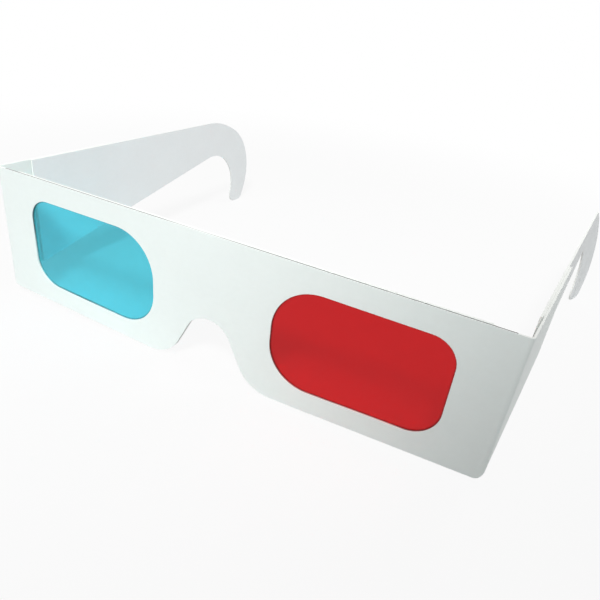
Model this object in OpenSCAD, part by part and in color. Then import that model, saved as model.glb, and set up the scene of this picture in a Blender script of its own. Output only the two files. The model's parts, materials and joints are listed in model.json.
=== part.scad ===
// Folding card viewing glasses with two colour filters.
// The wearer looks along -Y: the front face is at the low Y side and the
// temples run back along +Y. Everything stands on Z = 0.

/* [Card] */
// Thickness of one sheet of card
card_t = 0.5; // [0.35:0.05:0.7]
// Thickness of a colour filter, and of the adhesive round it
film_t = 0.15; // [0.1:0.05:0.25]
// Distance of the adhesive from the edges of the card
glue_inset = 0.8; // [0.4:0.1:1.1]
// Rounding of the card's plain corners
corner_r = 1.3; // [1.2:0.1:2]

/* [Front panel] */
// Width of the front panel over both folds
panel_w = 144.8; // [140:0.2:155]
// Height of the front panel
panel_h = 39; // [37:0.5:44]
// Height of the panel's lower edge at the folds
fold_low = 2.1; // [1:0.1:3]
// How far the rear sheet stops short of each fold
rear_gap = 6.8; // [4:0.1:7.5]

/* [Nose notch] */
// Distance between the two feet beside the nose
foot_gap = 37.8; // [36:0.2:40]
// Radius of each foot
foot_r = 10.4; // [9:0.1:11]
// Height of the top of the notch
nose_h = 16; // [14:0.2:18]
// Radius of the top of the notch
nose_r = 7.1; // [6:0.1:8]

/* [Windows] */
// Distance of a window's nose side from the middle
win_in = 17.6; // [16.5:0.1:20]
// Width of the rear sheet outside a window
win_side = 5.1; // [4.6:0.1:8]
// Width of the card above a window
win_head = 6; // [5:0.1:8]
// Height of a window's lower edge on the nose side
win_low_in = 6; // [5.5:0.1:8]
// Height of a window's lower edge on the outer side
win_low_out = 7.1; // [6:0.1:9]
// Radius of a window's upper corner on the nose side
win_r_top_in = 12; // [9:0.5:13]
// Radius of a window's lower corner on the nose side
win_r_low_in = 10.7; // [8:0.1:13]
// Radius of a window's upper outer corner
win_r_top_out = 6.4; // [4:0.1:9]
// Radius of a window's lower outer corner
win_r_low_out = 7.9; // [5:0.1:10]
// Extra opening of the rear sheet round each window
rear_relief = 0.6; // [0.3:0.1:1]
// How far a filter reaches past its window
film_lap = 3.4; // [2.5:0.1:3.6]

/* [Flaps and temples] */
// Length of the front sheet's end flap behind the fold
flap_len = 44; // [30:1:60]
// Height of the flap's lower edge at the fold
flap_low = 4; // [2:0.1:5]
// Distance of the temple's front edge from the fold
temple_start = 10.5; // [8:0.5:16]

/* [Ear hook] */
// Distance of the ear gap's crown from the fold
ear_at = 101.2; // [98:0.1:104]
// Height of the top of the ear gap
ear_h = 24.7; // [23:0.1:26]
// Radius of the ear gap's crown
ear_r = 15.4; // [14:0.1:17]
// Radius of the tip at the hook's inner side
hook_r = 4; // [3:0.5:6]
// Straight stretch between the ear gap's crown and the hook
hook_flat = 1; // [0.4:0.1:4]
// Length of the flat foot under the hook
hook_foot = 3.3; // [2:0.1:5]
// Radius of the tip at the hook's outer side
tip_r = 3; // [2.4:0.1:4]
// Radius of the hook's back
back_r = 22.4; // [20:0.2:25]
// Radius of the shoulder where the top edge turns down
shoulder_r = 37; // [33:1:41]
// How far the shoulder has turned down where the hook's back takes over
shoulder_turn = 35.5; // [28:0.5:42]
// How far each tighter arc of the hook stands out past the wider one
arc_out = 0.3; // [0.2:0.1:1]

/* [Stored pose] */
// How far the left temple stands out from square at its fold
left_splay = -0.7; // [-2:0.1:10]
// How far the right temple stands out from square at its fold
right_splay = 5.8; // [-2:0.1:10]
// How far the left temple's hook has turned outwards where it ends
left_curl = 0; // [0:0.2:25]
// How far the right temple's hook has turned outwards where it ends
right_curl = 17.6; // [0:0.2:25]
// Distance from the fold, on the ground, at which a hook begins to curl
curl_at = 98.1; // [90:0.1:112]
// How far the line that a hook curls from leans back
curl_lean = 17.3; // [0:0.1:30]
// Clearance between a temple and the sheet that it folds against
fold_gap = 0.05; // [0.03:0.01:0.1]

/* [Hidden] */
// What a cutting shape runs past the solid that it cuts
past = 1;
// Sheet edge that stays in front of a fold's round bend
score_w = 0.5;
// Points on a full turn of a rounded corner
$fn = 60;
// Steps of a hook's curl, and how far round it is drawn
curl_steps = 45;
curl_sweep = 45;

// Thickness of two sheets with a filter between them
stack_t = 2 * card_t + film_t;
// Each temple turns on a vertical axis just behind the rear sheet
axis_x = panel_w / 2 - stack_t;
axis_y = stack_t + fold_gap;

// Outlines are lists of discs [x, y, r], taken anticlockwise. A belt runs
// round them: r > 0 is a convex corner, r < 0 a hollow one, r = 0 a point.
function heading(a, b) =
    atan2(b[1] - a[1], b[0] - a[0]) + asin((a[2] - b[2]) / norm([b[0] - a[0], b[1] - a[1]]));
function turn(r, from, to) =
    let (t = (to - from) % 360)
    r >= 0 ? (t < 0 ? t + 360 : t) : (t > 0 ? t - 360 : t);
function arc(disc, from, sweep) =
    let (n = disc[2] == 0 ? 0 : ceil(abs(sweep) * $fn / 360))
    [for (i = [0 : n])
        let (a = from + (n == 0 ? 0 : sweep * i / n))
        [disc[0] + disc[2] * sin(a), disc[1] - disc[2] * cos(a)]];
function belt(discs) =
    let (n = len(discs))
    [for (i = [0 : n - 1])
        let (
            from = heading(discs[(i + n - 1) % n], discs[i]),
            to = heading(discs[i], discs[(i + 1) % n]))
        each arc(discs[i], from, turn(discs[i][2], from, to))];
// The same outline with its edge moved inwards by d
function inset(discs, d) = [for (c = discs) [c[0], c[1], c[2] - d]];
function corner(x, y, sx, sy, r) = [x - sx * r, y - sy * r, r];

// Front view of a sheet that reaches half_w to each side
function panel_discs(half_w, top_r) =
    let (low = fold_low * (half_w - foot_gap / 2) / (panel_w / 2 - foot_gap / 2))
    [
        corner(-half_w, low, -1, -1, corner_r),
        [-foot_gap / 2, foot_r, foot_r],
        [0, nose_h - nose_r, -nose_r],
        [foot_gap / 2, foot_r, foot_r],
        corner(half_w, low, 1, -1, corner_r),
        corner(half_w, panel_h, 1, 1, top_r),
        corner(-half_w, panel_h, -1, 1, top_r),
    ];
// Front view of the window at the high X side
rear_half = panel_w / 2 - rear_gap;
win_out = rear_half - win_side;
win_top = panel_h - win_head;
win_r_top_fit = min(win_r_top_in, win_top - win_low_in - win_r_low_in);
window_discs = [
    corner(win_in, win_low_in, -1, -1, win_r_low_in),
    corner(win_out, win_low_out, 1, -1, win_r_low_out),
    corner(win_out, win_top, 1, 1, win_r_top_out),
    corner(win_in, win_top, -1, 1, win_r_top_fit),
];

// Side view of flap and temple: x is the distance behind the front face
ear_disc = [ear_at, ear_h - ear_r, -ear_r];
low_slope = tan(heading([0, flap_low, 0], ear_disc));
function low_at(s) = flap_low + s * low_slope;
// The hook's inner disc stands on the ground, hook_flat clear of the crown
hook_span = sqrt(pow(ear_r + hook_r, 2) + pow(hook_flat, 2));
hook_at = ear_at + sqrt(pow(hook_span, 2) - pow(ear_disc[1] - hook_r, 2));
tip_at = hook_at + hook_foot;
// The shoulder's disc meets the top edge, and the back's disc lies inside it
shoulder_span = shoulder_r - back_r + arc_out;
back_h = panel_h - shoulder_r + shoulder_span * cos(shoulder_turn);
back_span = back_r - tip_r + arc_out;
back_at = tip_at - sqrt(pow(back_span, 2) - pow(back_h - tip_r, 2));
shoulder_at = back_at - shoulder_span * sin(shoulder_turn);
temple_len = back_at + back_r;
temple_discs = [
    [temple_start, low_at(temple_start), 0],
    ear_disc,
    [hook_at, hook_r, hook_r],
    [tip_at, tip_r, tip_r],
    [back_at, back_h, back_r],
    [shoulder_at, panel_h - shoulder_r, shoulder_r],
    [temple_start, panel_h, 0],
];
// A four-sided stretch of the temple's side view, in from the edges by d
function strip(from, to, d) = [
    [from + d, low_at(from + d) + d],
    [to - d, low_at(to - d) + d],
    [to - d, panel_h - d],
    [from + d, panel_h - d],
];

// A hook curls round an upright cylinder that leans back with its curl line
arm_len = temple_len - axis_y;
function curl_r(curl) = (temple_len - curl_at) * cos(curl_lean) / sin(curl);
function past_line(p) = max(0, (p[0] - curl_at) * cos(curl_lean) - p[1] * sin(curl_lean));
// How far out a face has come at a point of the side view, from u at the fold
function curl_out(p, u, curl) =
    curl == 0 ? u : curl_r(curl) - sqrt(pow(curl_r(curl) - u, 2) - pow(past_line(p), 2));
function arm_reach(splay, curl) = max(
    stack_t,
    (flap_len - axis_y) * sin(splay) + stack_t * cos(splay),
    max([for (p = belt(temple_discs))
        (p[0] - axis_y) * sin(splay) + curl_out(p, card_t, curl) * cos(splay)]));
function arm_depth(splay, curl) = max([for (p = belt(temple_discs))
    (p[0] - axis_y) * cos(splay) - curl_out(p, splay < 0 ? card_t : 0, curl) * sin(splay)]);
// The middle of the whole object's box in plan
box_mid_x = (arm_reach(right_splay, right_curl) - arm_reach(left_splay, left_curl)) / 2;
box_mid_y = axis_y / 2
    + max(arm_depth(right_splay, right_curl), arm_depth(left_splay, left_curl)) / 2;

// Puts the origin under the middle of the whole object's box
module placed() {
    translate([-box_mid_x, -box_mid_y, 0]) children();
}

// A sheet of the front panel, from depth near to depth far
module front_layer(near, far) {
    translate([0, far, 0]) rotate([90, 0, 0]) linear_extrude(far - near) children();
}

// A window or filter outline, mirrored to both sides
module both_windows(d) {
    for (side = [0, 1]) mirror([side, 0]) polygon(belt(inset(window_discs, d)));
}

// Moves an arm part from its own frame, axis at the origin, to its side
module on_arm(side) {
    placed() mirror([side < 0 ? 1 : 0, 0, 0]) translate([axis_x, axis_y, 0])
        rotate([0, 0, side < 0 ? -left_splay : -right_splay]) children();
}

// Runs a side view outwards from one distance to another
module arm_slab(inner, outer) {
    translate([inner, -axis_y, 0]) rotate([90, 0, 90]) linear_extrude(outer - inner) children();
}

// Plan of a sheet that is straight up to y = 0 and curls outwards past it
module curled_plan(inner, outer, r) {
    far = 2 * temple_len;
    polygon(concat(
        [[outer, -far], [inner, -far]],
        [for (i = [0 : curl_steps])
            let (a = curl_sweep * i / curl_steps)
            [r - (r - inner) * cos(a), (r - inner) * sin(a)]],
        [for (i = [curl_steps : -1 : 0])
            let (a = curl_sweep * i / curl_steps)
            [r - (r - outer) * cos(a), (r - outer) * sin(a)]]));
}

// The temple's card, with its hook curled
module temple_layer(inner, outer, curl) {
    if (curl == 0) arm_slab(inner, outer) children();
    else intersection() {
        arm_slab(-past, curl_r(curl)) children();
        translate([0, curl_at - axis_y, 0]) rotate([-curl_lean, 0, 0])
            translate([0, 0, -panel_h]) linear_extrude(3 * panel_h)
                curled_plan(inner, outer, curl_r(curl));
    }
}

module front_card() {
    color("#e9f3ef") placed() difference() {
        front_layer(0, card_t) difference() {
            polygon(belt(panel_discs(axis_x - score_w, 0)));
            both_windows(0);
        }
        for (side = [-1, 1]) translate([side * axis_x, axis_y, -past])
            cylinder(r = stack_t + fold_gap, h = panel_h + 2 * past);
    }
}

module rear_card() {
    color("#dfe9e6") placed() front_layer(card_t + film_t, stack_t) difference() {
        polygon(belt(panel_discs(rear_half, corner_r)));
        both_windows(-rear_relief);
    }
}

module panel_adhesive() {
    color("#d9dccb") placed() front_layer(card_t, card_t + film_t) difference() {
        polygon(belt(inset(panel_discs(rear_half, corner_r), glue_inset)));
        both_windows(-film_lap);
    }
}

module colour_filter(side) {
    placed() front_layer(card_t, card_t + film_t)
        mirror([side < 0 ? 1 : 0, 0]) polygon(belt(inset(window_discs, -film_lap)));
}

module cyan_filter() {
    color("#46b4d6") colour_filter(-1);
}

module red_filter() {
    color("#c4262b") colour_filter(1);
}

// The front sheet behind the fold: its round bend and the flap
module flap(side) {
    color("#e4eeea") on_arm(side) union() {
        arm_slab(stack_t - card_t, stack_t) polygon(strip(axis_y, flap_len, 0));
        translate([0, 0, low_at(axis_y)]) difference() {
            cylinder(r = stack_t, h = panel_h - low_at(axis_y));
            translate([0, 0, -past])
                cylinder(r = stack_t - card_t, h = panel_h + 2 * past);
            translate([-2 * stack_t, 0, -past])
                cube([4 * stack_t, 2 * stack_t, panel_h + 2 * past]);
        }
    }
}

module temple(side) {
    color("#dde7e6") on_arm(side) temple_layer(0, card_t, side < 0 ? left_curl : right_curl)
        polygon(belt(temple_discs));
}

// The adhesive between a flap and its temple
module temple_adhesive(side) {
    color("#d9dccb") on_arm(side) arm_slab(card_t, card_t + film_t)
        polygon(strip(temple_start, flap_len, glue_inset));
}

module left_flap() {
    flap(-1);
}

module left_temple() {
    temple(-1);
}

module left_temple_adhesive() {
    temple_adhesive(-1);
}

module right_flap() {
    flap(1);
}

module right_temple() {
    temple(1);
}

module right_temple_adhesive() {
    temple_adhesive(1);
}

front_card();
rear_card();
panel_adhesive();
cyan_filter();
red_filter();
left_flap();
left_temple();
left_temple_adhesive();
right_flap();
right_temple();
right_temple_adhesive();
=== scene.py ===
"""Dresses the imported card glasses: creased card sheets, dyed clear films, floor, lamps, camera."""
import json
import math

import bmesh
import bpy
from bpy.props import FloatProperty, FloatVectorProperty, IntProperty, PointerProperty
from mathutils import Matrix, Vector
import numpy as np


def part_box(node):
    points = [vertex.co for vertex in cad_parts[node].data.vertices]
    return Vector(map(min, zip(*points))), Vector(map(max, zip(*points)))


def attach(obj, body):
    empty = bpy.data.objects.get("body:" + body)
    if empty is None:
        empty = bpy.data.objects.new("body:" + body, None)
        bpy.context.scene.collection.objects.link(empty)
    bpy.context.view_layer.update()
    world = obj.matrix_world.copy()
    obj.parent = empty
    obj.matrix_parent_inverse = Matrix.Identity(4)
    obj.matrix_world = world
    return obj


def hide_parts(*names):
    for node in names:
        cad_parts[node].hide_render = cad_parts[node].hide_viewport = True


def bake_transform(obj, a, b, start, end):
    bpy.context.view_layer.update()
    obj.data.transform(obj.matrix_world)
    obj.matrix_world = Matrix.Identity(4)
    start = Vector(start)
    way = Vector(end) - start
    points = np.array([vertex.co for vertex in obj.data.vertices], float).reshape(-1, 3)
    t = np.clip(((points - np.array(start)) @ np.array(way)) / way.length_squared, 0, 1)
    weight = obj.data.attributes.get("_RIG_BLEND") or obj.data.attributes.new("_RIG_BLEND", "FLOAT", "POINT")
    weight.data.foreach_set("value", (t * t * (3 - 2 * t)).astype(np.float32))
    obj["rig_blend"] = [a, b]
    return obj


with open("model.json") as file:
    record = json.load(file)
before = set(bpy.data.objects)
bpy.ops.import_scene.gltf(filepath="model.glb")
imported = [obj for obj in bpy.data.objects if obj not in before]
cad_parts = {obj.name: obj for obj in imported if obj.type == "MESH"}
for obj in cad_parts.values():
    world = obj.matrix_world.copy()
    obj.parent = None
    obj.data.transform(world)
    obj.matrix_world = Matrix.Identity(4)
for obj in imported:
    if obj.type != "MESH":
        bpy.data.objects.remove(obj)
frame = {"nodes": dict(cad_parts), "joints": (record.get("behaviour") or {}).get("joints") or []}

bl_info = {
    "name": "Card Viewing Glasses",
    "version": (1, 0, 0),
    "blender": (4, 5, 0),
    "location": "View3D > Sidebar > Card Glasses",
    "description": "Builds folding card glasses with two colour films around a packed frame",
    "category": "Object",
}

MM = 0.001
WHITE = (1, 1, 1, 1)
UP = Vector((0, 0, 1))
PANEL_NORMAL = Vector((0, 1, 0))
SIDES = {"left": -1, "right": 1}

# A number on each point of a film for its painted rim shade: 1 on its window's outline, where that painted
# shade is darkest, else 0
PAINTED_RIM_SHADE = "painted_rim_shade"

# What the solids leave between panel and flap, and between the adhesive and a flap's edges
CLEARANCE = 0.05 * MM
GLUE_SET_IN = 0.8 * MM

# Points this near to each other are one, and faces that meet at less than this angle are one
ONE_POINT = 1e-6
ONE_FACE = math.radians(0.2)

# A point this near to a plane lies on it, and normals with this cosine are parallel
ON_PLANE = 2e-6
PARALLEL = 0.999999

# Edges from this sharpness on are rounded, and what bends less than that angle is shaded smooth
SHARP = math.radians(35)
SMOOTH = math.radians(20)

# How a crease's lead is divided, finer towards the bend, and in how many parts its tail
LEAD_SHARES = (0.35, 0.25, 0.15, 0.1, 0.08, 0.07)
TAIL_PARTS = 3

# How strongly a film bends light, and what share of a lamp's light it lets through
FILM_IOR = 1.3
FILM_CLEAR = (0.85, 0.85, 0.85, 1)

# Width in mm of the camera's sensor, which the focal length goes with
SENSOR = 36


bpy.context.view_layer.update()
FOLDS = {j["child"]: Vector(j["pos_m"]) for j in frame["joints"]}
FRONT_LOW, FRONT_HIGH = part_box("front_card")
THICKNESS = FRONT_HIGH.y - FRONT_LOW.y
FRONT_FOOT = Vector(((FOLDS["left_arm"].x + FOLDS["right_arm"].x) / 2, FRONT_LOW.y, 0))


# Sizes and colours

class CARDGLASSES_PG_card(bpy.types.PropertyGroup):
    """Sizes and colours of the card"""
    edge_round: FloatProperty(
        name="Edge Rounding", description="Width of the rounding on a cut edge",
        default=0.05 * MM, min=0, max=0.2 * MM, unit="LENGTH")
    lead: FloatProperty(
        name="Crease Lead", description="Flat card that a crease takes from the panel",
        default=2.05 * MM, min=1 * MM, max=4 * MM, unit="LENGTH")
    tail: FloatProperty(
        name="Crease Tail", description="Flat card that a crease takes from the flap",
        default=1.2 * MM, min=0.5 * MM, max=4 * MM, unit="LENGTH")
    corner_start: FloatProperty(
        name="Corner Start", description="Distance before the fold where the lower edge turns up",
        default=0.8 * MM, min=0, max=2 * MM, unit="LENGTH")
    corner_end: FloatProperty(
        name="Corner End", description="Share of the tail where the lower edge's turn ends",
        default=0.3, min=0, max=1)
    panel_slope: FloatProperty(
        name="Panel Slope", description="Rise of the panel's lower edge towards a crease",
        default=0.04, min=0, max=0.5)
    flap_slope: FloatProperty(
        name="Flap Slope", description="Rise of the flap's lower edge away from a crease",
        default=0.2075, min=0, max=0.5)
    seam_depth: FloatProperty(
        name="Seam Depth", description="Distance of the adhesive from the edges of flap and temple",
        default=0.03 * MM, min=0, max=GLUE_SET_IN, unit="LENGTH")
    bend_steps: IntProperty(
        name="Bend Steps", description="Faces round the bend of a crease",
        default=14, min=6, max=40)
    # Painted shade: width of a dark line painted on the back of the panel's cut edge, standing in for the
    # shadow in the gap between its sheets
    painted_gap_shade: FloatProperty(
        name="Gap Line", description="Width of the dark line on the panel's cut edge at its back",
        default=0.38 * MM, min=0, max=0.5 * MM, unit="LENGTH")
    face_rough: FloatProperty(
        name="Face Roughness", description="Least roughness of a coated face",
        subtype="FACTOR", default=0.36, min=0, max=1)
    back_rough: FloatProperty(
        name="Back Roughness", description="Least roughness of the rear sheet",
        subtype="FACTOR", default=0.5, min=0, max=1)
    face_colour: FloatVectorProperty(
        name="Face Colour", description="Coated outer face of the front sheet",
        subtype="COLOR", size=3, min=0, max=1, default=(0.84, 0.908, 0.888))
    back_colour: FloatVectorProperty(
        name="Back Colour", description="Plain face of the rear sheet",
        subtype="COLOR", size=3, min=0, max=1, default=(0.80, 0.855, 0.84))
    temple_colour: FloatVectorProperty(
        name="Temple Colour", description="Coated face of the temples",
        subtype="COLOR", size=3, min=0, max=1, default=(0.83, 0.865, 0.875))
    edge_colour: FloatVectorProperty(
        name="Cut Edge Colour", description="Bare fibres on a cut edge",
        subtype="COLOR", size=3, min=0, max=1, default=(0.87, 0.89, 0.86))


class CARDGLASSES_PG_film(bpy.types.PropertyGroup):
    """Sizes and colours of the films, and the colour of the adhesive"""
    cyan: FloatVectorProperty(
        name="Cyan", description="Colour of white light behind the cyan film",
        subtype="COLOR", size=3, min=0, max=1, default=(0.115, 0.74, 0.90))
    red: FloatVectorProperty(
        name="Red", description="Colour of white light behind the red film",
        subtype="COLOR", size=3, min=0, max=1, default=(0.70, 0.008, 0.011))
    lap: FloatProperty(
        name="Lap", description="How far a film reaches past its window",
        default=3.4 * MM, min=1 * MM, max=6 * MM, unit="LENGTH")
    # Painted shade: a dark line painted on each film just inside its window, standing in for the shade that
    # the card's cut edge casts on the film
    line_width: FloatProperty(
        name="Edge Line", description="Width of the dark line just inside a window's outline",
        default=0.55 * MM, min=0.1 * MM, max=2 * MM, unit="LENGTH")
    rim_shade_fade: FloatProperty(
        name="Edge Line Fade", description="Width over which that line fades under the card",
        default=0.11 * MM, min=0.01 * MM, max=1 * MM, unit="LENGTH")
    rim_shade_depth: FloatProperty(
        name="Edge Line Darkness", description="How dark that line is",
        subtype="FACTOR", default=0.75, min=0, max=1)
    glue: FloatVectorProperty(
        name="Adhesive", description="Dried adhesive between two cards",
        subtype="COLOR", size=3, min=0, max=1, default=(0.78, 0.79, 0.75))


class CARDGLASSES_PG_stage(bpy.types.PropertyGroup):
    """Camera, lamps and floor, placed from the foot of the front face, in its middle"""
    camera_from: FloatVectorProperty(
        name="Camera Place", description="Where the camera stands",
        subtype="TRANSLATION", size=3, default=(0.0668, -0.09774, 0.08866))
    yaw: FloatProperty(
        name="Yaw", description="Camera turned to the left",
        subtype="ANGLE", default=math.radians(23.55))
    pitch: FloatProperty(
        name="Pitch", description="Camera tilted down",
        subtype="ANGLE", default=math.radians(28.67))
    roll: FloatProperty(
        name="Roll", description="Camera leaning over",
        subtype="ANGLE", default=math.radians(7.45))
    lens: FloatProperty(
        name="Lens", description="Focal length on a 36 mm sensor, in mm",
        default=32.63, min=10, max=100)
    key_from: FloatVectorProperty(
        name="Key Place", description="Where the lamp above the front hangs",
        subtype="TRANSLATION", size=3, default=(0.10, -0.30, 0.45))
    key_towards: FloatVectorProperty(
        name="Key Aim", description="Where it points; its cone's edge falls on the lower right",
        subtype="TRANSLATION", size=3, default=(-0.13, 0, 0.329))
    key_power: FloatProperty(
        name="Key Power", description="Power of the lamp above the front",
        default=11.8, min=0, max=50, unit="POWER")
    key_cone: FloatProperty(
        name="Key Cone", description="Angle of its cone",
        subtype="ANGLE", default=math.radians(91))
    key_blend: FloatProperty(
        name="Key Blend", description="Softness of its cone's edge",
        subtype="FACTOR", default=0.19, min=0, max=1)
    key_size: FloatProperty(
        name="Key Size", description="Radius of its bulb, which softens shadows",
        default=0.05, min=0, max=1, unit="LENGTH")
    fill_from: FloatVectorProperty(
        name="Fill Place", description="Where the soft lamp at the back right hangs",
        subtype="TRANSLATION", size=3, default=(0.16, 0.41, 0.35))
    fill_towards: FloatVectorProperty(
        name="Fill Aim", description="Where the soft lamp points",
        subtype="TRANSLATION", size=3, default=(0, 0.06, 0.01))
    fill_power: FloatProperty(
        name="Fill Power", description="Power of the soft lamp",
        default=0.75, min=0, max=50, unit="POWER")
    fill_size: FloatProperty(
        name="Fill Size", description="Width of the soft lamp's disk",
        default=0.30, min=0, max=2, unit="LENGTH")
    sky: FloatProperty(
        name="Sky", description="Strength of the light from all round",
        default=0.33, min=0, max=2)
    floor_size: FloatProperty(
        name="Floor Size", description="Side of the square floor",
        default=8, min=1, max=50, unit="LENGTH")
    floor_colour: FloatVectorProperty(
        name="Floor Colour", description="Darker colour of the floor's grain",
        subtype="COLOR", size=3, min=0, max=1, default=(0.60, 0.60, 0.60))
    shaded_to: FloatProperty(
        name="Shaded To", description="Distance up to which the floor shows full shadows",
        default=0.13, min=0, max=1, unit="LENGTH")
    white_from: FloatProperty(
        name="White From", description="Distance from which the floor is plain white",
        default=0.35, min=0, max=2, unit="LENGTH")
    near_white: FloatProperty(
        name="Near White", description="Share of plain white in the floor near the object",
        subtype="FACTOR", default=0.91, min=0, max=1)
    film_white: FloatProperty(
        name="Film White", description="That share where a film is in front of the floor",
        subtype="FACTOR", default=0.7, min=0, max=1)
    film_dim: FloatProperty(
        name="Film Dimming", description="How much darker the near floor's white is behind a film",
        subtype="FACTOR", default=0.234, min=0, max=1)


# Modelling helpers

def select_only(obj):
    """Makes obj the only selected object and the active one."""
    bpy.ops.object.select_all(action="DESELECT")
    obj.select_set(True)
    bpy.context.view_layer.objects.active = obj


class Editing:
    """Edit mode on one object, for a with block."""

    def __init__(self, obj):
        self.obj = obj

    def __enter__(self):
        select_only(self.obj)
        bpy.ops.object.mode_set(mode="EDIT")
        bpy.ops.mesh.select_mode(type="VERT")
        bpy.ops.mesh.select_all(action="SELECT")
        return self

    def __exit__(self, *_):
        bpy.ops.object.mode_set(mode="OBJECT")

    def pick(self, test):
        """Selects the vertices that pass the test."""
        bpy.ops.mesh.select_all(action="DESELECT")
        mesh = bmesh.from_edit_mesh(self.obj.data)
        for v in mesh.verts:
            v.select_set(test(v.co))
        mesh.select_flush_mode()
        bmesh.update_edit_mesh(self.obj.data)

    def pick_facing(self, normal):
        """Selects the faces that look along a direction or against it."""
        bpy.ops.mesh.select_mode(type="FACE")
        bpy.ops.mesh.select_all(action="DESELECT")
        mesh = bmesh.from_edit_mesh(self.obj.data)
        for face in mesh.faces:
            face.select_set(abs(face.normal.dot(normal)) > PARALLEL)
        bmesh.update_edit_mesh(self.obj.data)

    def note(self, name, value):
        """Stores a number on the selected vertices, which the materials can read."""
        mesh = bmesh.from_edit_mesh(self.obj.data)
        store = mesh.verts.layers.float
        layer = store.get(name) or store.new(name)
        for v in mesh.verts:
            if v.select:
                v[layer] = value
        bmesh.update_edit_mesh(self.obj.data)


def sheet_from(node, name):
    """A new object with the merged, tidied mesh of a CAD node."""
    obj = bpy.data.objects.new(name, frame["nodes"][node].data.copy())
    obj.data.name = name
    obj.data.materials.clear()
    bpy.context.scene.collection.objects.link(obj)
    with Editing(obj):
        bpy.ops.mesh.remove_doubles(threshold=ONE_POINT)
        bpy.ops.mesh.dissolve_limited(angle_limit=ONE_FACE)
    return obj


def cut_off(obj, point, away):
    """Cuts obj at a plane and closes it; what lies on the away side goes."""
    with Editing(obj):
        bpy.ops.mesh.bisect(plane_co=point, plane_no=away, use_fill=True, clear_outer=True)


def round_edges(obj, width, joins=(), outward=None):
    """Rounds every sharp edge, except where obj meets a crease, and shades plain faces flat."""
    with Editing(obj):
        bpy.ops.mesh.select_all(action="DESELECT")
        bpy.ops.mesh.select_mode(type="EDGE")
        bpy.ops.mesh.edges_select_sharp(sharpness=SHARP)
        mesh = bmesh.from_edit_mesh(obj.data)
        for edge in mesh.edges:
            for point, normal in joins:
                if all(abs((v.co - point).dot(normal)) < ON_PLANE for v in edge.verts):
                    edge.select_set(False)
        mesh.select_flush_mode()
        bmesh.update_edit_mesh(obj.data)
        bpy.ops.mesh.bevel(offset=width, segments=2, affect="EDGES", clamp_overlap=True)
    select_only(obj)
    bpy.ops.object.shade_smooth_by_angle(angle=SMOOTH)
    for face in obj.data.polygons:
        if outward and abs(face.normal.dot(outward)) > PARALLEL:
            face.use_smooth = False


def lean_of(side):
    """How far an arm stands out from square at its fold, from its joint's range."""
    joint = next(j for j in frame["joints"] if j["child"] == side + "_arm")
    return math.radians(90 + joint["range_deg"][0])


def arm_axes(side):
    """Along the arm and outwards from its inner face, both level."""
    lean, sign = lean_of(side), SIDES[side]
    along = Vector((sign * math.sin(lean), math.cos(lean), 0))
    out = Vector((sign * math.cos(lean), -math.sin(lean), 0))
    return along, out


# Material helpers

def arithmetic(operation, other_first=False):
    """A method that adds one Math node."""
    def run(self, other):
        pair = (other, self) if other_first else (self, other)
        return self.finish.math(operation, *pair)
    return run


class Wire:
    """A socket that can be used in sums."""

    def __init__(self, finish, socket):
        self.finish, self.socket = finish, socket

    __add__ = __radd__ = arithmetic("ADD")
    __mul__ = __rmul__ = arithmetic("MULTIPLY")
    __sub__, __rsub__ = arithmetic("SUBTRACT"), arithmetic("SUBTRACT", True)
    __pow__ = arithmetic("POWER")

    def out(self, name):
        """Another output of the same node."""
        return Wire(self.finish, self.socket.node.outputs[name])


class Finish:
    """The nodes of one material, or of a world."""

    def __init__(self, name, kept_in=None):
        owners = bpy.data.materials if kept_in is None else kept_in
        self.owner = owners.new(name)
        self.owner.use_nodes = True
        self.tree = self.owner.node_tree
        self.tree.nodes.clear()

    def node(self, kind, settings=None, sockets=None, output=0):
        """Adds a node: its settings first, then the values or links of its sockets."""
        node = self.tree.nodes.new(kind)
        for key, value in (settings or {}).items():
            setattr(node, key, value)
        for key, value in (sockets or {}).items():
            if isinstance(value, Wire):
                self.tree.links.new(value.socket, node.inputs[key])
            else:
                node.inputs[key].default_value = value
        return Wire(self, node.outputs[output]) if len(node.outputs) else None

    def math(self, operation, *values):
        """Adds a Math node."""
        return self.node("ShaderNodeMath", {"operation": operation}, dict(enumerate(values)))

    def mix(self, factor, a, b, blend="MIX"):
        """Mixes two colours."""
        settings = {"data_type": "RGBA", "blend_type": blend}
        return self.node("ShaderNodeMix", settings, {0: factor, 6: a, 7: b}, output=2)

    def between(self, value, low, high):
        """0 at low, 1 at high, smooth between."""
        settings = {"interpolation_type": "SMOOTHSTEP"}
        return self.node("ShaderNodeMapRange", settings, {0: value, 1: low, 2: high})

    def noise(self, where, size, detail=2.0, rough=0.5):
        """Noise from 0 to 1 whose grains are about one size across."""
        return self.node("ShaderNodeTexNoise", {"noise_dimensions": "3D"},
                         {"Vector": where, "Scale": 1 / size, "Detail": detail, "Roughness": rough})

    def stretched(self, where, factors):
        """Coordinates multiplied along each axis, which makes grains finer there."""
        return self.node("ShaderNodeVectorMath", {"operation": "MULTIPLY"}, {0: where, 1: factors})

    def bump(self, height, strength, distance):
        """A normal from a height."""
        return self.node("ShaderNodeBump", None,
                         {"Strength": strength, "Distance": distance, "Height": height})

    def shader(self, kind, **sockets):
        """Adds a shader whose sockets are given by name, with _ for a space."""
        names = {key.replace("_", " "): value for key, value in sockets.items()}
        return self.node(kind, None, names)

    def done(self, surface, output="ShaderNodeOutputMaterial"):
        """Ends the nodes in their output, and returns the material or world."""
        self.node(output, None, {"Surface": surface})
        return self.owner


def rgba(colour, gain=1.0):
    """A colour made lighter or darker, for a node."""
    return tuple(gain * c for c in colour) + (1.0,)


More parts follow.
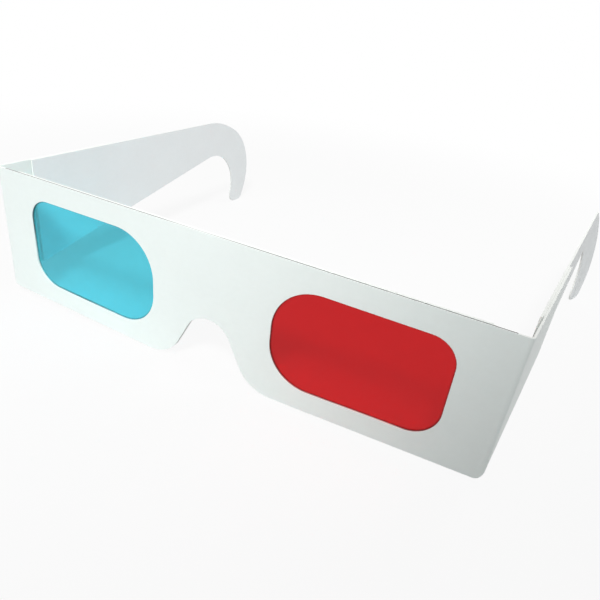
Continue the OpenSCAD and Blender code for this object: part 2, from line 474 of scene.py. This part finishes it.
def card_finish(name, colour, edge, outward, rough, painted_shade_from=None):
    """Card: smooth coated faces with faint fibres, and rougher bare fibres on its cut edges.

    Towards the back the cut edges carry painted shade in patches, standing in for the shadow inside the gap
    where the sheet behind has come away.
    """
    f = Finish(name)
    place = f.node("ShaderNodeTexCoord")
    where = place.out("Object")
    facing = f.math("ABSOLUTE", f.node(
        "ShaderNodeVectorMath", {"operation": "DOT_PRODUCT"},
        {0: place.out("Normal"), 1: outward or UP}, output=1))
    cut = 1 - f.between(facing, 0.55, 0.9) if outward else f.between(facing, 0.45, 0.8)
    cloud = f.noise(where, 11 * MM, 3.0, 0.5)
    streak = f.noise(f.stretched(where, (1.0, 1.0, 6.0)), 3.2 * MM, 2.0)
    fibre = f.noise(f.stretched(where, (1.0, 1.0, 2.2)), 0.32 * MM, 3.0, 0.6)
    mottle = f.noise(where, 1.3 * MM, 2.0, 0.6)
    speck = f.noise(where, 0.11 * MM, 2.0, 0.7)
    tone = 0.945 + 0.045 * cloud + 0.012 * streak + 0.015 * fibre + 0.035 * mottle
    tint = f.mix(1.0, rgba(colour), f.node("ShaderNodeCombineColor", None, {
        0: tone, 1: tone, 2: 0.012 * streak + tone * 0.99}), "MULTIPLY")
    bare = f.mix(speck, rgba(edge, 0.9), rgba(edge, 1.08))
    # Painted shade: the back of the cut edge is darkened in patches, in place of the shadow in the gap
    # between the sheets
    if painted_shade_from is not None:
        depth = f.node("ShaderNodeSeparateXYZ", None, {0: where}, output="Y")
        shaded_patches = f.between(f.noise(where, 45 * MM, 1.0), 0.42, 0.56)
        shade = f.between(depth, painted_shade_from, painted_shade_from + 0.1 * MM) * (0.45 + 0.55 * shaded_patches)
        bare = f.mix(shade, bare, rgba(edge, 0.1))
    base = f.mix(cut, tint, bare)
    height = (0.5 * fibre + 0.5 * cloud) * (1 - cut) + 2.2 * speck * cut
    return f.done(f.shader(
        "ShaderNodeBsdfPrincipled", Base_Color=base,
        Roughness=rough + 0.1 * fibre + 0.05 * streak + cut * 0.4,
        Coat_Weight=0.12 - 0.12 * cut, Coat_Roughness=0.3,
        Normal=f.bump(height, 0.25, 0.03 * MM)))


def film_finish(name, colour, rim_shade_darkness):
    """Clear film dyed right through and uneven, with painted shade along its window's outline in place of
    the card edge's shade; lamps shine through it.
    """
    f = Finish(name)
    where = f.node("ShaderNodeTexCoord").out("Object")
    haze = f.noise(where, 2.6 * MM, 3.0, 0.6)
    pull = f.noise(f.stretched(where, (0.35, 1.0, 1.0)), 1.1 * MM, 2.0, 0.5)
    line = f.node("ShaderNodeAttribute", {"attribute_name": PAINTED_RIM_SHADE}).out("Fac")
    tint = f.mix(haze, rgba(colour, 0.96), rgba(colour, 1.04))
    # Painted shade: the tint darkens towards the window's outline
    tint = f.mix(line ** 1.5 * rim_shade_darkness, tint, rgba(colour, 0.12))
    glass = f.shader(
        "ShaderNodeBsdfPrincipled", Base_Color=tint, Transmission_Weight=1.0, IOR=FILM_IOR,
        Roughness=0.05 + 0.05 * haze, Normal=f.bump(haze + pull, 0.2, 0.02 * MM))
    clear = f.shader("ShaderNodeBsdfTransparent", Color=FILM_CLEAR)
    rays = f.node("ShaderNodeLightPath").out("Is Shadow Ray")
    return f.done(f.node("ShaderNodeMixShader", None, {0: rays, 1: glass, 2: clear}))


def glue_finish(name, colour):
    """Dried adhesive: uneven and slightly shiny."""
    f = Finish(name)
    where = f.node("ShaderNodeTexCoord").out("Object")
    lump = f.noise(where, 0.9 * MM, 3.0, 0.6)
    base = f.mix(lump, rgba(colour, 0.8), rgba(colour, 1.15))
    return f.done(f.shader(
        "ShaderNodeBsdfPrincipled", Base_Color=base, Roughness=0.35 + 0.3 * lump,
        Normal=f.bump(lump, 0.4, 0.05 * MM)))


def glue_material():
    """The material of the adhesive, made once."""
    found = bpy.data.materials.get("dried_glue")
    return found or glue_finish("dried_glue", bpy.context.scene.cardglasses_film.glue)


def finish_piece(obj, material, nodes=()):
    """Gives a piece its material and slot, and hides the CAD nodes that it stands for."""
    obj.data.materials.append(material)
    if nodes:
        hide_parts(*nodes)


def repaint(node, material):
    """Gives a CAD node that stays its material."""
    obj = frame["nodes"][node]
    obj.data.materials.clear()
    obj.data.materials.append(material)


def card_material(kind):
    """The material of a sheet, made once."""
    found = bpy.data.materials.get(kind)
    if found:
        return found
    card = bpy.context.scene.cardglasses_card
    first, part = kind.split("_")
    facing = {"panel": PANEL_NORMAL, "bent": None,
              "left": arm_axes("left")[1], "right": arm_axes("right")[1]}
    colours = {"rear": card.back_colour, "temple": card.temple_colour}
    rough = card.back_rough if part == "rear" else card.face_rough
    # The front sheet's cut edge gets its painted gap shade from this depth back
    painted_shade_from = FRONT_HIGH.y - card.painted_gap_shade if kind == "panel_front" else None
    return card_finish(kind, colours.get(part, card.face_colour), card.edge_colour,
                       facing[first], rough, painted_shade_from)


# Pieces

class CARDGLASSES_OT_panel(bpy.types.Operator):
    """Models the front and rear sheets of the panel with rounded cut edges"""
    bl_idname = "cardglasses.panel"
    bl_label = "Panel Sheets"

    def execute(self, context):
        card = context.scene.cardglasses_card
        front = sheet_from("front_card", "front_sheet")
        joins = []
        for sign, body in ((-1, "left_arm"), (1, "right_arm")):
            point = Vector((FOLDS[body].x - sign * card.lead, FRONT_LOW.y, 0))
            normal = Vector((sign, 0, 0))
            cut_off(front, point, normal)
            joins.append((point, normal))
        round_edges(front, card.edge_round, joins, PANEL_NORMAL)
        finish_piece(front, card_material("panel_front"), ["front_card"])
        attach(front, "front")
        rear = sheet_from("rear_card", "rear_sheet")
        round_edges(rear, card.edge_round, outward=PANEL_NORMAL)
        finish_piece(rear, card_material("panel_rear"), ["rear_card"])
        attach(rear, "front")
        return {"FINISHED"}


class CARDGLASSES_OT_arms(bpy.types.Operator):
    """Models each flap and temple card with rounded cut edges"""
    bl_idname = "cardglasses.arms"
    bl_label = "Flaps and Temples"

    def execute(self, context):
        card = context.scene.cardglasses_card
        for side in SIDES:
            along, out = arm_axes(side)
            point = FOLDS[side + "_arm"] + card.tail * along
            flap = sheet_from(side + "_flap", side + "_flap_sheet")
            cut_off(flap, point, -along)
            round_edges(flap, card.edge_round, [(point, along)], out)
            finish_piece(flap, card_material(side + "_flap"), [side + "_flap"])
            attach(flap, side + "_arm")
            temple = sheet_from(side + "_temple", side + "_temple_sheet")
            round_edges(temple, card.edge_round, outward=out)
            finish_piece(temple, card_material(side + "_temple"),
                         [side + "_temple"])
            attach(temple, side + "_arm")
            self.seam(card, side)
        return {"FINISHED"}

    def seam(self, card, side):
        """The adhesive between flap and temple, which the cut has pressed out to their edges."""
        node = side + "_temple_adhesive"
        glue = sheet_from(node, side + "_seam")
        low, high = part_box(node)
        middle = (FRONT_HIGH.z + low.z) / 2
        with Editing(glue) as edit:
            edit.pick(lambda co: co.z > middle)
            bpy.ops.transform.translate(value=(0, 0, FRONT_HIGH.z - card.seam_depth - high.z))
            edit.pick(lambda co: co.z < middle)
            bpy.ops.transform.translate(value=(0, 0, card.seam_depth - GLUE_SET_IN))
        finish_piece(glue, glue_material(), [node])
        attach(glue, side + "_arm")


class CARDGLASSES_OT_creases(bpy.types.Operator):
    """Models the creased card between the panel and each flap, which bends as the temple folds"""
    bl_idname = "cardglasses.creases"
    bl_label = "Creases"

    def execute(self, context):
        for side in SIDES:
            self.crease(context.scene.cardglasses_card, side)
        return {"FINISHED"}

    def crease(self, card, side):
        """One strip, drawn out from the panel, spun round the fold and drawn on along the flap."""
        sign, fold = SIDES[side], FOLDS[side + "_arm"]
        along = arm_axes(side)[0]
        panel = bpy.data.objects["front_sheet"]
        flap = bpy.data.objects[side + "_flap_sheet"]
        start_x = fold.x - sign * card.lead
        end = fold + card.tail * along
        panel_foot = min(v.co.z for v in panel.data.vertices
                         if abs(v.co.x - start_x) < ON_PLANE)
        flap_foot = min(v.co.z for v in flap.data.vertices
                        if abs((v.co - end).dot(along)) < ON_PLANE)
        top = FRONT_HIGH.z
        bpy.ops.object.select_all(action="DESELECT")
        middle = Vector((start_x, FRONT_LOW.y + THICKNESS / 2, (panel_foot + top) / 2))
        bpy.ops.mesh.primitive_plane_add(
            size=1, location=middle, rotation=(0, sign * math.pi / 2, 0))
        strip = bpy.context.object
        strip.name = strip.data.name = side + "_crease"
        strip.scale = (top - panel_foot, THICKNESS, 1)
        bpy.ops.object.transform_apply(location=True, rotation=True, scale=True)
        turn = math.pi / 2 - lean_of(side)
        radius = fold.y - FRONT_LOW.y
        with Editing(strip):
            for share in LEAD_SHARES:
                self.extend(Vector((sign * share * card.lead, 0, 0)))
            bpy.ops.mesh.spin(steps=card.bend_steps, angle=-sign * turn, center=fold, axis=UP)
            for _ in range(TAIL_PARTS):
                self.extend(card.tail / TAIL_PARTS * along)
            bpy.ops.mesh.select_all(action="SELECT")
            bpy.ops.mesh.normals_make_consistent(inside=False)
        self.settle(strip, card, side, radius, turn, panel_foot, flap_foot)
        joins = [(Vector((start_x, 0, 0)), Vector((1, 0, 0))), (end, along)]
        round_edges(strip, card.edge_round, joins)
        finish_piece(strip, card_material("bent_crease"))
        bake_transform(strip, "front", side + "_arm", start=(fold.x, fold.y - radius, fold.z),
                 end=(fold.x + sign * (radius - CLEARANCE), fold.y, fold.z))

    def extend(self, step):
        """Draws the selected end of the strip out by one step."""
        bpy.ops.mesh.extrude_region_move(TRANSFORM_OT_translate={"value": step})

    def settle(self, strip, card, side, radius, turn, panel_foot, flap_foot):
        """Turns the lower edge up round the fold, and takes up the clearance of the flap."""
        sign, fold = SIDES[side], FOLDS[side + "_arm"]
        along, out = arm_axes(side)
        bend = radius * turn
        corner = card.corner_start + bend + card.tail * card.corner_end
        slack = 1e-7

        def travelled(co):
            """How far round the outer face a point lies from the fold's start."""
            offset = co - fold
            if sign * offset.x <= slack and offset.y < 0:
                return sign * offset.x
            beyond = offset.dot(along)
            if beyond > slack:
                return bend + beyond
            return radius * math.atan2(sign * offset.x, -offset.y)

        with Editing(strip):
            mesh = bmesh.from_edit_mesh(strip.data)
            for v in mesh.verts:
                way = travelled(v.co)
                share = min(max((way + card.corner_start) / corner, 0), 1)
                ease = share * share * (3 - 2 * share)
                if v.co.z < (panel_foot + FRONT_HIGH.z) / 2:
                    before = panel_foot + card.panel_slope * min(way + card.lead, card.lead)
                    behind = flap_foot + card.flap_slope * (way - bend - card.tail)
                    v.co.z = before * (1 - ease) + behind * ease
                v.co -= out * CLEARANCE * min(max(way / bend, 0), 1)
            bmesh.update_edit_mesh(strip.data)


class CARDGLASSES_OT_films(bpy.types.Operator):
    """Models the two colour films, and gives the adhesive its finish"""
    bl_idname = "cardglasses.films"
    bl_label = "Films and Adhesive"

    def execute(self, context):
        film = context.scene.cardglasses_film
        self.dyed(film, "cyan", film.cyan)
        self.dyed(film, "red", film.red)
        repaint("panel_adhesive", glue_material())
        return {"FINISHED"}

    def dyed(self, film, hue, colour):
        """One film, with narrow rings of faces along its window's outline that carry its painted rim shade.
        """
        piece = sheet_from(hue + "_filter", hue + "_clear_film")
        # The ring on the window's outline gets 1, the darkest painted rim shade; the rings either side of it
        # get 0
        rings = ((film.lap - film.rim_shade_fade, 0), (film.rim_shade_fade, 1), (film.line_width, 0))
        with Editing(piece) as edit:
            edit.pick_facing(PANEL_NORMAL)
            for inward, dark in rings:
                bpy.ops.mesh.inset(thickness=inward, use_individual=True)
                edit.note(PAINTED_RIM_SHADE, dark)
        finish_piece(piece, film_finish(hue + "_dyed_film", colour, film.rim_shade_depth),
                     [hue + "_filter"])
        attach(piece, "front")


class CARDGLASSES_OT_stage(bpy.types.Operator):
    """Sets the floor, the lamps, the world and the camera"""
    bl_idname = "cardglasses.stage"
    bl_label = "Stage"

    def execute(self, context):
        stage = context.scene.cardglasses_stage
        self.floor(stage)
        key = self.lamp("key_lamp", "SPOT", stage.key_from, stage.key_towards, stage.key_power)
        key.spot_size, key.spot_blend = stage.key_cone, stage.key_blend
        key.shadow_soft_size = stage.key_size
        fill = self.lamp("fill_lamp", "AREA", stage.fill_from, stage.fill_towards,
                         stage.fill_power)
        fill.shape, fill.size = "DISK", stage.fill_size
        self.sky(context.scene, stage.sky)
        self.camera(context.scene, stage)
        context.scene.view_settings.view_transform = "Standard"
        return {"FINISHED"}

    def floor(self, stage):
        """Pale paper with the object's shadow, which turns plain white further out."""
        bpy.ops.object.select_all(action="DESELECT")
        bpy.ops.mesh.primitive_plane_add(size=stage.floor_size, location=(0, 0, 0))
        floor = bpy.context.object
        floor.name = floor.data.name = "floor"
        f = Finish("pale_floor")
        rays = f.node("ShaderNodeLightPath")
        place = f.node("ShaderNodeTexCoord").out("Object")
        distance = f.node("ShaderNodeVectorMath", {"operation": "LENGTH"}, {0: place}, output=1)
        far = f.between(distance, stage.shaded_to, stage.white_from)
        through = rays.out("Is Transmission Ray")
        seen = f.math("MAXIMUM", rays.out("Is Camera Ray"), rays.out("Is Glossy Ray"))
        share = (seen * (1 - through) * (stage.near_white + (1 - stage.near_white) * far)
                 + through * (stage.film_white + (1 - stage.film_white) * far))
        grain = f.noise(place, 5 * MM, 3.0, 0.6)
        paper = f.shader("ShaderNodeBsdfDiffuse", Color=f.mix(
            grain, rgba(stage.floor_colour), rgba(stage.floor_colour, 1.1)))
        white = f.shader("ShaderNodeEmission", Color=WHITE,
                         Strength=1 - stage.film_dim * through * (1 - far))
        floor.data.materials.append(
            f.done(f.node("ShaderNodeMixShader", None, {0: share, 1: paper, 2: white})))

    def lamp(self, name, kind, at, towards, power):
        """Adds a lamp; both places are distances from the foot of the front face, in its middle."""
        at, towards = Vector(at), Vector(towards)
        bpy.ops.object.light_add(type=kind, location=FRONT_FOOT + at)
        lamp = bpy.context.object
        lamp.name = lamp.data.name = name
        lamp.rotation_euler = (at - towards).to_track_quat("Z", "Y").to_euler()
        lamp.data.energy = power
        return lamp.data

    def sky(self, scene, strength):
        """Even light from all round, which looks white itself."""
        f = Finish("studio", bpy.data.worlds)
        rays = f.node("ShaderNodeLightPath")
        seen = f.math("MAXIMUM", rays.out("Is Camera Ray"), rays.out("Is Transmission Ray"))
        seen = f.math("MAXIMUM", seen, rays.out("Is Glossy Ray"))
        dim = f.shader("ShaderNodeBackground", Color=WHITE, Strength=strength)
        bright = f.shader("ShaderNodeBackground", Color=WHITE)
        mixed = f.node("ShaderNodeMixShader", None, {0: seen, 1: dim, 2: bright})
        scene.world = f.done(mixed, "ShaderNodeOutputWorld")

    def camera(self, scene, stage):
        """The photograph's view, from its place, three angles and lens."""
        bpy.ops.object.camera_add()
        camera = bpy.context.object
        camera.name = camera.data.name = "photo_camera"
        cy, sy = math.cos(stage.yaw), math.sin(stage.yaw)
        cp, sp = math.cos(stage.pitch), math.sin(stage.pitch)
        ahead = Vector((-sy * cp, cy * cp, -sp))
        right = Vector((cy, sy, 0))
        up = right.cross(ahead)
        cr, sr = math.cos(stage.roll), math.sin(stage.roll)
        right, up = cr * right + sr * up, -sr * right + cr * up
        turn = Matrix((right, up, -ahead)).transposed().to_4x4()
        camera.matrix_world = Matrix.Translation(FRONT_FOOT + Vector(stage.camera_from)) @ turn
        camera.data.lens, camera.data.sensor_width = stage.lens, SENSOR
        camera.data.clip_start = 5 * MM
        scene.camera = camera


class CARDGLASSES_PT_panel(bpy.types.Panel):
    """Lists the steps in the order in which they are made"""
    bl_idname = "CARDGLASSES_PT_panel"
    bl_label = "Card Glasses"
    bl_space_type = "VIEW_3D"
    bl_region_type = "UI"
    bl_category = "Card Glasses"

    def draw(self, context):
        for step in STEPS:
            self.layout.operator(step.bl_idname)
        for group in GROUPS:
            settings = getattr(context.scene, group)
            for key in settings.bl_rna.properties.keys():
                if key not in ("rna_type", "name"):
                    self.layout.prop(settings, key)


GROUPS = {
    "cardglasses_card": CARDGLASSES_PG_card,
    "cardglasses_film": CARDGLASSES_PG_film,
    "cardglasses_stage": CARDGLASSES_PG_stage,
}
STEPS = (CARDGLASSES_OT_panel, CARDGLASSES_OT_arms, CARDGLASSES_OT_creases,
         CARDGLASSES_OT_films, CARDGLASSES_OT_stage)
CLASSES = (*GROUPS.values(), *STEPS, CARDGLASSES_PT_panel)


def register():
    for cls in CLASSES:
        bpy.utils.register_class(cls)
    for key, group in GROUPS.items():
        setattr(bpy.types.Scene, key, PointerProperty(type=group))


def unregister():
    for key in GROUPS:
        delattr(bpy.types.Scene, key)
    for cls in reversed(CLASSES):
        bpy.utils.unregister_class(cls)


def main():
    """Makes every piece in order."""
    register()
    bpy.ops.cardglasses.panel()
    bpy.ops.cardglasses.arms()
    bpy.ops.cardglasses.creases()
    bpy.ops.cardglasses.films()
    bpy.ops.cardglasses.stage()


if __name__ == "__main__":
    main()
